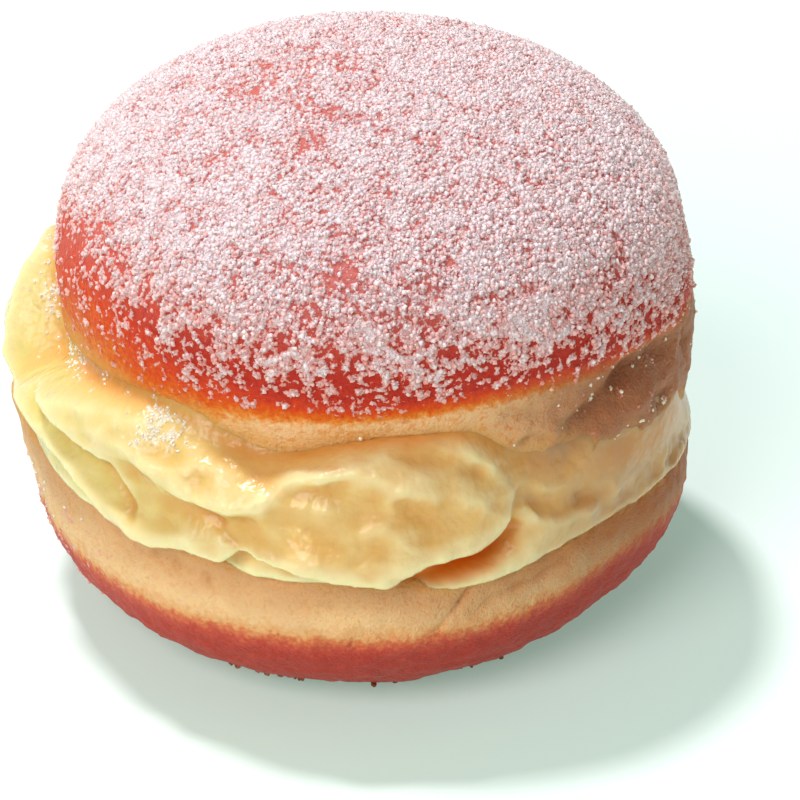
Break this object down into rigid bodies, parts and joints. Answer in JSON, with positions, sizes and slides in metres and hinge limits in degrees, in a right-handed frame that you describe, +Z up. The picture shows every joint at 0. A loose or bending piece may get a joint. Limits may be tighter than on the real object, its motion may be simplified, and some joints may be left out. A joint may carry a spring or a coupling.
{
  "type": "custard filled doughnut",
  "caption": "Round sugared yeast doughnut, split and gaping at one side, with thick pale custard swelling out between its halves.",
  "frame": {"origin": "on the surface it rests on, under the middle of the doughnut's bounding box", "axes": "+Z up through the crown, -Y towards the open front, -X towards the side where the custard swells out most"},
  "size_m": [0.092, 0.0916, 0.0742],
  "materials": {
    "lower_bun": "fried yeast dough, pale at the waist and browned below",
    "custard": "smooth moist custard",
    "upper_bun": "red brown fried crust dusted with sugar, pale at its rim",
    "sugar": "white sugar grains",
    "crumb": "browned crumbs"
  },
  "bodies": {
    "root": {"bun_bottom": "lower_bun", "custard": "custard", "bun_top": "upper_bun"}
  },
  "joints": []
}
